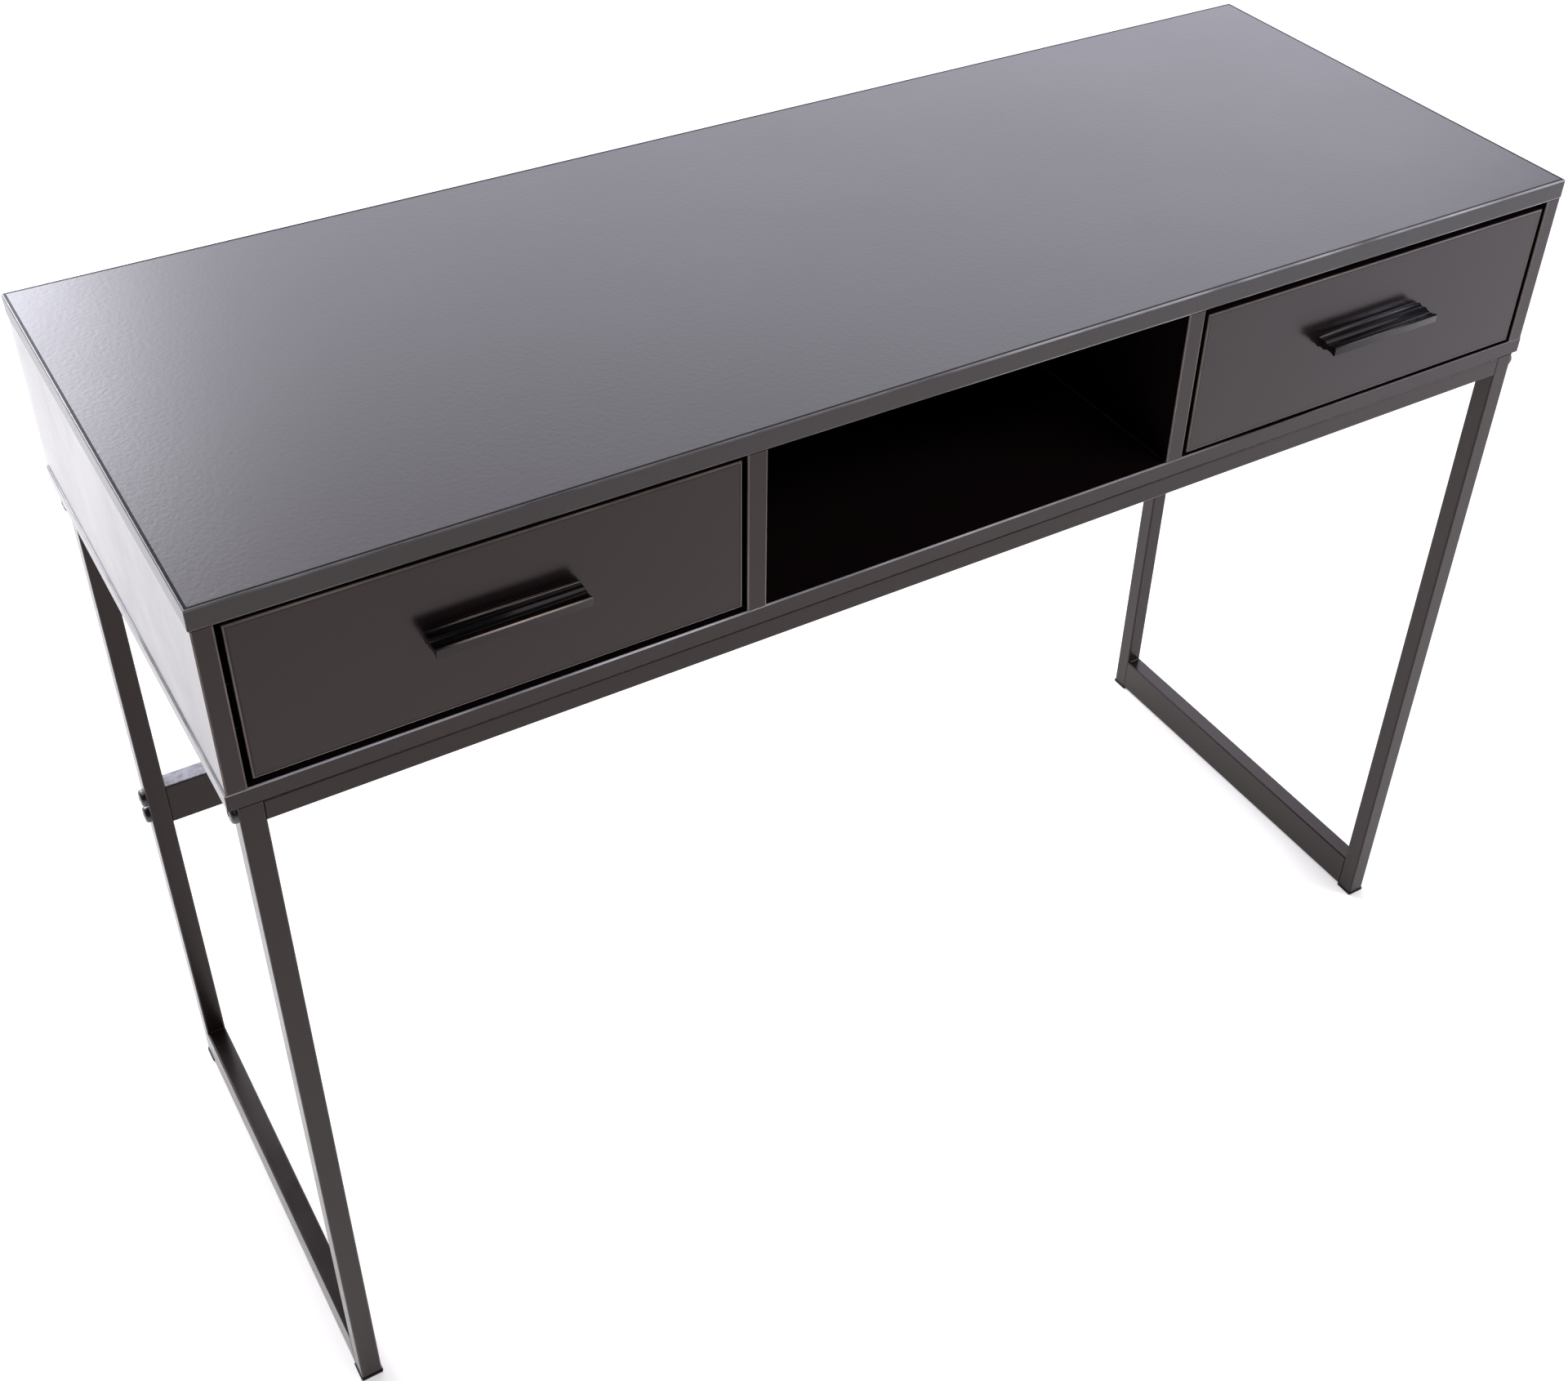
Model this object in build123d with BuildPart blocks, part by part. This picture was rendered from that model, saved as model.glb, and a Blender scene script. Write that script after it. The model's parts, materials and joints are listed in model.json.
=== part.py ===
"""Writing desk: a panel case with two drawers and an open bay, on a bolted steel tube frame.

Frame: origin at the middle of the bounding box's footprint, +X to the user's right,
+Y to the back, +Z up. Lengths in millimetres.
"""

import os

from build123d import *

os.makedirs("parts", exist_ok=True)

# Overall sizes
WIDTH = 1050.0
DEPTH = 385.0
HEIGHT = 762.0

# Case boards
TOP_T = 15.0
BOTTOM_T = 13.0
SIDE_T = 13.0
DIVIDER_T = 14.0
BACK_T = 6.0
CASE_H = 149.0
SIDE_INSET = 1.0
EDGE_R = 1.0
GROOVE_GAP = 0.2
GROOVE_DEPTH = 5.0
BACK_INSET = 14.0

# Steel frame
TUBE = 16.0
TUBE_WALL = 1.2
TUBE_R = 1.4
BOTTOM_BAR_H = 35.0
STRETCHER_H = 38.0
STRETCHER_Z = 309.0
FRAME_INSET = 5.5
REAR_POST_INSET = 12.0
GLIDE_T = 2.0
BLOCK_L = 14.0

# Drawers
FRONT_T = 13.0
FRONT_H = 113.0
FRONT_GAP = 4.0
BOX_T = 12.0
BOX_H = 80.0
BOX_L = 317.0
BOX_LIFT = 10.0
BOX_BASE_T = 3.2
SLIDE_GAP = 12.7
SLIDE_H = 34.0
SLIDE_L = 310.0
SLIDE_T = 1.2
SLIDE_Z = 676.0
LEFT_FRONT_LIFT = 1.5
RIGHT_FRONT_LIFT = -1.0

# Pulls
PULL_L = 100.0
PULL_PROJECTION = 18.0
PULL_RISE = 3.5
PULL_PITCH = 64.0

# Positions that follow from the sizes above
FRONT_Y = PULL_PROJECTION - (DEPTH + PULL_PROJECTION) / 2
BACK_Y = FRONT_Y + DEPTH
MID_Y = (FRONT_Y + BACK_Y) / 2
CASE_Z = HEIGHT - CASE_H
BAY_Z = CASE_Z + BOTTOM_T
BAY_TOP = HEIGHT - TOP_T
BAY_H = BAY_TOP - BAY_Z
BAY_MID_Z = (BAY_Z + BAY_TOP) / 2
INNER_X = WIDTH / 2 - SIDE_INSET - SIDE_T
BAY_W = (2 * INNER_X - 2 * DIVIDER_T) / 3
SIDE_X = INNER_X + SIDE_T / 2
DIVIDER_X = BAY_W / 2 + DIVIDER_T / 2
DRAWER_X = BAY_W + DIVIDER_T
BACK_PANEL_Y = BACK_Y - BACK_INSET
BAY_BACK_Y = BACK_PANEL_Y - BACK_T / 2

POST_X = WIDTH / 2 - FRAME_INSET - TUBE / 2
FRONT_POST_Y = FRONT_Y + TUBE / 2
REAR_POST_Y = BACK_Y - REAR_POST_INSET - TUBE / 2
POST_MID_Y = (FRONT_POST_Y + REAR_POST_Y) / 2
BAR_L = REAR_POST_Y - FRONT_POST_Y - TUBE
RAIL_L = 2 * POST_X - TUBE
RAIL_Z = CASE_Z - TUBE / 2
BOLT_PITCH = 18.0

SLIDE_FRONT_Y = FRONT_Y + FRONT_T + 2.0
SLIDE_SCREWS_Y = [SLIDE_FRONT_Y + 40, SLIDE_FRONT_Y + SLIDE_L - 50]

UPRIGHTS_X = [-SIDE_X, -DIVIDER_X, DIVIDER_X, SIDE_X]
DOWEL_ROWS_Y = [FRONT_Y + 50, BACK_Y - 75]
FITTING_ROWS_Y = [FRONT_Y + 95, BACK_Y - 120]
RAIL_SCREWS_X = [-310.0, 0.0, 310.0]

# Fasteners
DOWEL_D = 6.0
DOWEL_L = 24.0
DOWEL_IN_BOARD = 9.0
CAM_D = 12.0
CAM_T = 9.6
CAM_DROP = 24.0
CAM_BOLT_D = 5.8
FIT = 0.1


def save(piece: BuildPart, label: str) -> None:
    """Name a finished piece and write it to its own file."""
    piece.part.label = label
    export_step(piece.part, f"parts/{label}.step")


def bore(points: list, diameter: float, depth: float, direction: tuple) -> None:
    """Drill the piece being built, from each point along a direction."""
    for point in points:
        with Locations(Plane(origin=point, z_dir=direction)):
            Cylinder(
                diameter / 2,
                depth,
                align=(Align.CENTER, Align.CENTER, Align.MIN),
                mode=Mode.SUBTRACT,
            )


def slot(centre: tuple, size: tuple) -> None:
    """Cut a rectangular groove or pocket out of the piece being built."""
    with Locations(centre):
        Box(*size, mode=Mode.SUBTRACT)


def group(master: BuildPart, places: list, label: str) -> None:
    """Place copies of one small piece and save them together as separate solids."""
    with BuildPart() as copies:
        for place in places:
            add(master.part.moved(place))
    save(copies, label)


def pointing(point: tuple, direction: tuple) -> Location:
    """Location that turns a master's +Z onto a direction and moves it to a point."""
    return Plane(origin=point, z_dir=direction).location


# ---------------------------------------------------------------------------
# Fastener masters: each stands with its tip down -Z and its head seat at Z = 0
# ---------------------------------------------------------------------------
with BuildPart() as dowel:
    Cylinder(DOWEL_D / 2, DOWEL_L)
    chamfer(dowel.edges().filter_by(GeomType.CIRCLE), 0.8)

FRAME_BOLT_HEAD_D = 14.0
FRAME_BOLT_HEAD_H = 4.0
FRAME_BOLT_D = 6.0
FRAME_BOLT_L = TUBE + 11.0
with BuildPart() as frame_bolt:
    Cylinder(
        FRAME_BOLT_HEAD_D / 2, FRAME_BOLT_HEAD_H, align=(Align.CENTER, Align.CENTER, Align.MIN)
    )
    fillet(frame_bolt.edges().filter_by(GeomType.CIRCLE).sort_by(Axis.Z)[-1], 2.4)
    with BuildSketch(Plane.XY.offset(FRAME_BOLT_HEAD_H)):
        RegularPolygon(2.3, 6)
    extrude(amount=-2.4, mode=Mode.SUBTRACT)
    Cylinder(
        FRAME_BOLT_D / 2, FRAME_BOLT_L, align=(Align.CENTER, Align.CENTER, Align.MAX)
    )
    chamfer(frame_bolt.edges().filter_by(GeomType.CIRCLE).sort_by(Axis.Z)[0], 0.7)

RAIL_SCREW_HEAD_H = 2.6
RAIL_SCREW_L = TUBE + 10.0
with BuildPart() as rail_screw:
    Cylinder(4.6, RAIL_SCREW_HEAD_H, align=(Align.CENTER, Align.CENTER, Align.MIN))
    fillet(rail_screw.edges().filter_by(GeomType.CIRCLE).sort_by(Axis.Z)[-1], 1.8)
    slot((0, 0, RAIL_SCREW_HEAD_H), (4.4, 1.0, 2.6))
    slot((0, 0, RAIL_SCREW_HEAD_H), (1.0, 4.4, 2.6))
    Cylinder(2.2, RAIL_SCREW_L, align=(Align.CENTER, Align.CENTER, Align.MAX))
    chamfer(rail_screw.edges().filter_by(GeomType.CIRCLE).sort_by(Axis.Z)[0], 1.2)

FLAT_HEAD_D = 9.6
FLAT_HEAD_H = 2.7
with BuildPart() as base_screw:
    with Locations((0, 0, -FLAT_HEAD_H)):
        Cone(2.5, FLAT_HEAD_D / 2, FLAT_HEAD_H, align=(Align.CENTER, Align.CENTER, Align.MIN))
    with BuildSketch(Plane.XY):
        RegularPolygon(2.3, 6)
    extrude(amount=-2.2, mode=Mode.SUBTRACT)
    with Locations((0, 0, -FLAT_HEAD_H)):
        Cylinder(2.5, 38, align=(Align.CENTER, Align.CENTER, Align.MAX))
    chamfer(base_screw.edges().filter_by(GeomType.CIRCLE).sort_by(Axis.Z)[0], 1.2)

BOX_SCREW_HEAD_D = 7.6
BOX_SCREW_HEAD_H = 2.4
with BuildPart() as box_screw:
    with Locations((0, 0, -BOX_SCREW_HEAD_H)):
        Cone(
            1.8,
            BOX_SCREW_HEAD_D / 2,
            BOX_SCREW_HEAD_H,
            align=(Align.CENTER, Align.CENTER, Align.MIN),
        )
    slot((0, 0, 0), (3.6, 0.9, 2.6))
    slot((0, 0, 0), (0.9, 3.6, 2.6))
    with Locations((0, 0, -BOX_SCREW_HEAD_H)):
        Cylinder(1.8, 30, align=(Align.CENTER, Align.CENTER, Align.MAX))
    chamfer(box_screw.edges().filter_by(GeomType.CIRCLE).sort_by(Axis.Z)[0], 1.0)

PAN_HEAD_D = 8.0
PAN_HEAD_H = 2.4
FRONT_SCREW_L = BOX_T + 9.0
PULL_SCREW_L = BOX_T + FRONT_T + 6.0


def pan_screw(length: float) -> BuildPart:
    """Pan-headed M4 screw with a cross recess."""
    with BuildPart() as screw:
        Cylinder(PAN_HEAD_D / 2, PAN_HEAD_H, align=(Align.CENTER, Align.CENTER, Align.MIN))
        fillet(screw.edges().filter_by(GeomType.CIRCLE).sort_by(Axis.Z)[-1], 1.6)
        slot((0, 0, PAN_HEAD_H), (4.0, 0.9, 2.4))
        slot((0, 0, PAN_HEAD_H), (0.9, 4.0, 2.4))
        Cylinder(2.0, length, align=(Align.CENTER, Align.CENTER, Align.MAX))
        chamfer(screw.edges().filter_by(GeomType.CIRCLE).sort_by(Axis.Z)[0], 0.8)
    return screw


SLIDE_SCREW_L = 10.0
with BuildPart() as slide_screw:
    Cylinder(3.2, 1.6, align=(Align.CENTER, Align.CENTER, Align.MIN))
    fillet(slide_screw.edges().filter_by(GeomType.CIRCLE).sort_by(Axis.Z)[-1], 1.0)
    slot((0, 0, 1.6), (3.4, 0.8, 1.6))
    slot((0, 0, 1.6), (0.8, 3.4, 1.6))
    Cylinder(1.6, SLIDE_SCREW_L, align=(Align.CENTER, Align.CENTER, Align.MAX))
    chamfer(slide_screw.edges().filter_by(GeomType.CIRCLE).sort_by(Axis.Z)[0], 0.8)

with BuildPart() as cam_lock:
    Cylinder(CAM_D / 2, CAM_T, align=(Align.CENTER, Align.CENTER, Align.MAX))
    slot((0, CAM_D / 2, -CAM_T / 2 - 1.0), (CAM_BOLT_D + 1.0, CAM_D, CAM_T - 2.0))
    slot((0, 0, -CAM_T / 2 - 1.0), (CAM_BOLT_D + 1.6, CAM_BOLT_D + 1.6, CAM_T - 2.0))
    slot((0, 0, 0), (6.0, 1.0, 2.0))
    slot((0, 0, 0), (1.0, 6.0, 2.0))

CAM_BOLT_DOWN = CAM_DROP + 2.4
with BuildPart() as cam_bolt:
    Cylinder(2.4, 10.0, align=(Align.CENTER, Align.CENTER, Align.MIN))
    Cylinder(CAM_BOLT_D / 2, 2.0, align=(Align.CENTER, Align.CENTER, Align.MAX))
    with Locations((0, 0, -2.0)):
        Cylinder(1.9, CAM_BOLT_DOWN - 4.4, align=(Align.CENTER, Align.CENTER, Align.MAX))
    with Locations((0, 0, 2.4 - CAM_BOLT_DOWN)):
        Cylinder(CAM_BOLT_D / 2, 2.4, align=(Align.CENTER, Align.CENTER, Align.MAX))

# ---------------------------------------------------------------------------
# Case
# ---------------------------------------------------------------------------
with BuildPart() as desktop:
    with Locations((0, MID_Y, HEIGHT - TOP_T / 2)):
        Box(WIDTH, DEPTH, TOP_T)
    fillet(desktop.edges(), EDGE_R)
    slot(
        (0, BACK_PANEL_Y, BAY_TOP),
        (2 * (INNER_X + GROOVE_DEPTH), BACK_T + GROOVE_GAP, 2 * GROOVE_DEPTH),
    )
    dowel_points = [(x, y, BAY_TOP) for x in UPRIGHTS_X for y in DOWEL_ROWS_Y]
    bore(dowel_points, DOWEL_D + FIT, DOWEL_IN_BOARD + 1, (0, 0, 1))
    cam_points = [(x, y, BAY_TOP) for x in UPRIGHTS_X for y in FITTING_ROWS_Y]
    bore(cam_points, 4.8 + FIT, 11, (0, 0, 1))
save(desktop, "desktop")

with BuildPart() as bottom_board:
    with Locations((0, MID_Y, CASE_Z + BOTTOM_T / 2)):
        Box(WIDTH, DEPTH, BOTTOM_T)
    fillet(bottom_board.edges(), EDGE_R)
    slot(
        (0, BACK_PANEL_Y, BAY_Z),
        (2 * (INNER_X + GROOVE_DEPTH), BACK_T + GROOVE_GAP, 2 * GROOVE_DEPTH),
    )
    dowel_points = [(x, y, BAY_Z) for x in UPRIGHTS_X for y in DOWEL_ROWS_Y]
    bore(dowel_points, DOWEL_D + FIT, DOWEL_IN_BOARD + 1, (0, 0, -1))
    for screw_x in UPRIGHTS_X:
        for screw_y in FITTING_ROWS_Y:
            with Locations(Plane(origin=(screw_x, screw_y, CASE_Z), z_dir=(0, 0, -1))):
                CounterSinkHole(2.5 + FIT, FLAT_HEAD_D / 2 + FIT, BOTTOM_T)
    rail_points = [
        (x, y, CASE_Z) for x in RAIL_SCREWS_X for y in (FRONT_POST_Y, REAR_POST_Y)
    ]
    bore(rail_points, 4.4 + FIT, 11, (0, 0, 1))
save(bottom_board, "bottom_board")


def upright(label: str, x: float, thickness: float, length: float, cam_side: int) -> None:
    """Vertical case board, drilled for its dowels, cams and base screws.

    Args:
        label: node name.
        x: middle of the board.
        thickness: board thickness.
        length: depth from front to back.
        cam_side: side of the board that the cam locks are set into, -1 or 1.
    """
    with BuildPart() as board:
        with Locations((x, FRONT_Y + length / 2, BAY_MID_Z)):
            Box(thickness, length, BAY_H)
        chamfer(board.edges().filter_by(Axis.Z).group_by(Axis.Y)[0], 0.4)
        if length > BACK_PANEL_Y - FRONT_Y:
            inner = x + cam_side * thickness / 2
            slot(
                (inner, BACK_PANEL_Y, BAY_MID_Z),
                (2 * GROOVE_DEPTH, BACK_T + GROOVE_GAP, BAY_H),
            )
        depth = DOWEL_L - DOWEL_IN_BOARD + 1
        bore([(x, y, BAY_TOP) for y in DOWEL_ROWS_Y], DOWEL_D + FIT, depth, (0, 0, -1))
        bore([(x, y, BAY_Z) for y in DOWEL_ROWS_Y], DOWEL_D + FIT, depth, (0, 0, 1))
        bore([(x, y, BAY_Z) for y in FITTING_ROWS_Y], 5 + FIT, 32, (0, 0, 1))
        bore([(x, y, BAY_TOP) for y in FITTING_ROWS_Y], CAM_BOLT_D + 0.6, 30, (0, 0, -1))
        face_x = x + cam_side * thickness / 2
        bore(
            [(face_x, y, BAY_TOP - CAM_DROP) for y in FITTING_ROWS_Y],
            CAM_D + 2 * FIT,
            CAM_T + 0.3,
            (-cam_side, 0, 0),
        )
        pilots = [(face_x, y, SLIDE_Z) for y in SLIDE_SCREWS_Y]
        bore(pilots, 3.2 + FIT, SLIDE_SCREW_L - SLIDE_T + 0.5, (-cam_side, 0, 0))
    save(board, label)


upright("left_side_panel", -SIDE_X, SIDE_T, DEPTH, 1)
upright("left_divider", -DIVIDER_X, DIVIDER_T, BAY_BACK_Y - FRONT_Y, -1)
upright("right_divider", DIVIDER_X, DIVIDER_T, BAY_BACK_Y - FRONT_Y, 1)
upright("right_side_panel", SIDE_X, SIDE_T, DEPTH, -1)

with BuildPart() as back_panel:
    with Locations((0, BACK_PANEL_Y, BAY_MID_Z)):
        Box(
            2 * (INNER_X + GROOVE_DEPTH) - 0.6,
            BACK_T,
            BAY_H + 2 * GROOVE_DEPTH - 0.6,
        )
save(back_panel, "back_panel")

dowel_offset = DOWEL_L / 2 - DOWEL_IN_BOARD
dowel_places = [
    Location((x, y, z))
    for x in UPRIGHTS_X
    for y in DOWEL_ROWS_Y
    for z in (BAY_TOP - dowel_offset, BAY_Z + dowel_offset)
]
group(dowel, dowel_places, "case_dowels")

cam_places = []
for upright_x, half, side in (
    (-SIDE_X, SIDE_T / 2, 1),
    (-DIVIDER_X, DIVIDER_T / 2, -1),
    (DIVIDER_X, DIVIDER_T / 2, 1),
    (SIDE_X, SIDE_T / 2, -1),
):
    for row_y in FITTING_ROWS_Y:
        origin = (upright_x + side * half, row_y, BAY_TOP - CAM_DROP)
        turned = Plane(origin=origin, x_dir=(0, side, 0), z_dir=(side, 0, 0))
        cam_places.append(turned.location)
group(cam_lock, cam_places, "case_cam_locks")

cam_bolt_places = [Location((x, y, BAY_TOP)) for x in UPRIGHTS_X for y in FITTING_ROWS_Y]
group(cam_bolt, cam_bolt_places, "case_cam_bolts")

base_screw_places = [
    pointing((x, y, CASE_Z), (0, 0, -1)) for x in UPRIGHTS_X for y in FITTING_ROWS_Y
]
group(base_screw, base_screw_places, "case_base_screws")

rail_screw_places = [
    pointing((x, y, CASE_Z - TUBE), (0, 0, -1))
    for x in RAIL_SCREWS_X
    for y in (FRONT_POST_Y, REAR_POST_Y)
]
group(rail_screw, rail_screw_places, "case_mounting_screws")


# ---------------------------------------------------------------------------
# Frame
# ---------------------------------------------------------------------------
def tube(plane: Plane, width: float, height: float, length: float) -> None:
    """Add a square or flat oblong tube that runs both ways from a plane."""
    with BuildSketch(plane) as section:
        RectangleRounded(width, height, TUBE_R)
        RectangleRounded(
            width - 2 * TUBE_WALL, height - 2 * TUBE_WALL, 0.4, mode=Mode.SUBTRACT
        )
    extrude(section.sketch, amount=length / 2, both=True)


def frame_bolt_points() -> list:
    """Bolt axes on the frame as (y, z) pairs."""
    points = [(FRONT_POST_Y, RAIL_Z), (REAR_POST_Y, RAIL_Z)]
    for rise in (-BOLT_PITCH / 2, BOLT_PITCH / 2):
        points.append((REAR_POST_Y, STRETCHER_Z + rise))
    return points


BOLT_POINTS = frame_bolt_points()

for side_name, side in (("left", -1), ("right", 1)):
    for post_name, post_y in (("front", FRONT_POST_Y), ("rear", REAR_POST_Y)):
        with BuildPart() as post:
            middle = (side * POST_X, post_y, (GLIDE_T + CASE_Z) / 2)
            tube(Plane(origin=middle, z_dir=(0, 0, 1)), TUBE, TUBE, CASE_Z - GLIDE_T)
            holes = [
                (side * (POST_X + TUBE), y, z) for y, z in BOLT_POINTS if y == post_y
            ]
            bore(holes, FRAME_BOLT_D + 0.4, 2 * TUBE, (-side, 0, 0))
        save(post, f"{side_name}_{post_name}_post")

    with BuildPart() as bottom_bar:
        middle = (side * POST_X, POST_MID_Y, GLIDE_T + BOTTOM_BAR_H / 2)
        tube(Plane(origin=middle, x_dir=(1, 0, 0), z_dir=(0, 1, 0)), TUBE, BOTTOM_BAR_H, BAR_L)
    save(bottom_bar, f"{side_name}_bottom_bar")

    with BuildPart() as top_bar:
        middle = (side * POST_X, POST_MID_Y, RAIL_Z)
        tube(Plane(origin=middle, x_dir=(1, 0, 0), z_dir=(0, 1, 0)), TUBE, TUBE, BAR_L)
    save(top_bar, f"{side_name}_top_bar")

for rail_name, rail_y in (("front_rail", FRONT_POST_Y), ("rear_rail", REAR_POST_Y)):
    with BuildPart() as rail:
        tube(Plane(origin=(0, rail_y, RAIL_Z), x_dir=(0, 1, 0), z_dir=(1, 0, 0)), TUBE, TUBE, RAIL_L)
        bore([(x, rail_y, RAIL_Z - TUBE) for x in RAIL_SCREWS_X], 4.8, 2 * TUBE, (0, 0, 1))
    save(rail, rail_name)

with BuildPart() as stretcher:
    stretcher_plane = Plane(
        origin=(0, REAR_POST_Y, STRETCHER_Z), x_dir=(0, 1, 0), z_dir=(1, 0, 0)
    )
    tube(stretcher_plane, TUBE, STRETCHER_H, RAIL_L)
save(stretcher, "rear_stretcher")

TAPPED_D = FRAME_BOLT_D + FIT
BLOCK_W = TUBE - 2 * TUBE_WALL - 2 * FIT
with BuildPart() as rail_end_blocks:
    for end in (-1, 1):
        end_x = end * (RAIL_L / 2 - BLOCK_L / 2)
        for rail_y in (FRONT_POST_Y, REAR_POST_Y):
            with Locations((end_x, rail_y, RAIL_Z)):
                Box(BLOCK_L, BLOCK_W, BLOCK_W)
        with Locations((end_x, REAR_POST_Y, STRETCHER_Z)):
            Box(BLOCK_L, BLOCK_W, STRETCHER_H - 2 * TUBE_WALL - 2 * FIT)
    chamfer(rail_end_blocks.edges().filter_by(Axis.X), 0.6)
    for end in (-1, 1):
        taps = [(end * RAIL_L / 2, y, z) for y, z in BOLT_POINTS]
        bore(taps, TAPPED_D, BLOCK_L, (-end, 0, 0))
save(rail_end_blocks, "rail_end_blocks")

frame_bolt_places = [
    pointing((side * (POST_X + TUBE / 2), y, z), (side, 0, 0))
    for side in (-1, 1)
    for y, z in BOLT_POINTS
]
group(frame_bolt, frame_bolt_places, "frame_bolts")

GLIDE_W = TUBE + 1.6
with BuildPart() as glide:
    with BuildSketch(Plane.XY):
        RectangleRounded(GLIDE_W, GLIDE_W, 1.6)
    extrude(amount=GLIDE_T)
    chamfer(glide.faces().sort_by(Axis.Z)[0].edges(), 0.5)
    with BuildSketch(Plane.XY.offset(GLIDE_T)):
        Rectangle(TUBE - 2 * TUBE_WALL - 0.4, TUBE - 2 * TUBE_WALL - 0.4)
        Rectangle(TUBE - 2 * TUBE_WALL - 3.4, TUBE - 2 * TUBE_WALL - 3.4, mode=Mode.SUBTRACT)
    extrude(amount=11)

glide_places = [
    Location((side * POST_X, y, 0)) for side in (-1, 1) for y in (FRONT_POST_Y, REAR_POST_Y)
]
group(glide, glide_places, "foot_glides")


# ---------------------------------------------------------------------------
# Drawer slides
# ---------------------------------------------------------------------------
CHANNEL_LEG = SLIDE_GAP - 1.5
RUNNER_LEG = 8.0
SLIDE_PLAY = 0.3
PAD_T = 1.4
PAD_L = 22.0
PAD_W = 5.6
SLIDE_RUNNER_H = SLIDE_H - 2 * (SLIDE_T + PAD_T + SLIDE_PLAY)
BOX_HALF_W = BAY_W / 2 - SLIDE_GAP


def channel(web_x: float, toward: int, leg: float, height: float) -> None:
    """Add a C-shaped steel section that runs along the slide.

    Args:
        web_x: outer face of the web.
        toward: direction the legs point in, -1 or 1.
        leg: width across the section.
        height: height over the legs.
    """
    mid_y = SLIDE_FRONT_Y + SLIDE_L / 2
    with Locations((web_x + toward * leg / 2, mid_y, SLIDE_Z)):
        Box(leg, SLIDE_L, height)
    slot(
        (web_x + toward * (leg / 2 + SLIDE_T), mid_y, SLIDE_Z),
        (leg, SLIDE_L + 2, height - 2 * SLIDE_T),
    )


def pads(label: str, xs: list, pad_y: float, rise: float) -> None:
    """Nylon pads above and below the middle of the slides."""
    with BuildPart() as strips:
        for pad_x in xs:
            for level in (-rise, rise):
                with Locations((pad_x, pad_y, SLIDE_Z + level)):
                    Box(PAD_W, PAD_L, PAD_T)
        chamfer(strips.edges().filter_by(Axis.Z), 0.8)
    save(strips, label)


def cabinet_slides(name: str, bay_x: float) -> None:
    """Channels fixed to the walls of one drawer bay, with pads in their front ends."""
    with BuildPart() as channels:
        for wall in (-1, 1):
            wall_x = bay_x + wall * BAY_W / 2
            channel(wall_x, -wall, CHANNEL_LEG, SLIDE_H)
            bore([(wall_x, y, SLIDE_Z) for y in SLIDE_SCREWS_Y], 3.6, 2 * SLIDE_T, (-wall, 0, 0))
    save(channels, f"{name}_cabinet_channels")
    pad_xs = [bay_x + wall * (BOX_HALF_W + RUNNER_LEG / 2) for wall in (-1, 1)]
    pads(f"{name}_cabinet_pads", pad_xs, SLIDE_FRONT_Y + PAD_L / 2, SLIDE_H / 2 - SLIDE_T - PAD_T / 2)


def drawer_runners(name: str, bay_x: float) -> None:
    """Steel runners on the sides of one drawer, with pads on their rear ends."""
    with BuildPart() as runners:
        for wall in (-1, 1):
            web_x = bay_x + wall * BOX_HALF_W
            channel(web_x, wall, RUNNER_LEG, SLIDE_RUNNER_H)
            bore([(web_x, y, SLIDE_Z) for y in SLIDE_SCREWS_Y], 3.6, 2 * SLIDE_T, (wall, 0, 0))
    save(runners, f"{name}_runners")
    pad_xs = [bay_x + wall * (BOX_HALF_W + RUNNER_LEG / 2) for wall in (-1, 1)]
    pad_y = SLIDE_FRONT_Y + SLIDE_L - PAD_L / 2
    pads(f"{name}_runner_pads", pad_xs, pad_y, SLIDE_RUNNER_H / 2 + PAD_T / 2)
    places = [
        pointing((bay_x + wall * (BOX_HALF_W + SLIDE_T), y, SLIDE_Z), (wall, 0, 0))
        for wall in (-1, 1)
        for y in SLIDE_SCREWS_Y
    ]
    group(slide_screw, places, f"{name}_runner_screws")


# ---------------------------------------------------------------------------
# Drawers
# ---------------------------------------------------------------------------
BOX_Z = BAY_Z + BOX_LIFT
BOX_TOP = BOX_Z + BOX_H
BOX_FRONT_Y = FRONT_Y + FRONT_T
BOX_INNER_W = 2 * (BOX_HALF_W - BOX_T)
BOX_BACK_Y = BOX_FRONT_Y + BOX_L
BASE_Z = BOX_Z + 10.0
BASE_GROOVE = 5.0
BOX_SCREWS_Z = [BOX_Z + 19.0, BOX_TOP - 12.0]
FRONT_SCREWS_X = [-110.0, 110.0]
FRONT_SCREWS_Z = [BOX_Z + 22.0, BOX_TOP - 22.0]


def base_groove(bay_x: float, y_low: float, y_high: float) -> None:
    """Cut the groove for the drawer base out of the board being built."""
    slot(
        (bay_x, (y_low + y_high) / 2, BASE_Z + BOX_BASE_T / 2),
        (BOX_INNER_W + 2 * BASE_GROOVE, y_high - y_low, BOX_BASE_T + GROOVE_GAP),
    )


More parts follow.
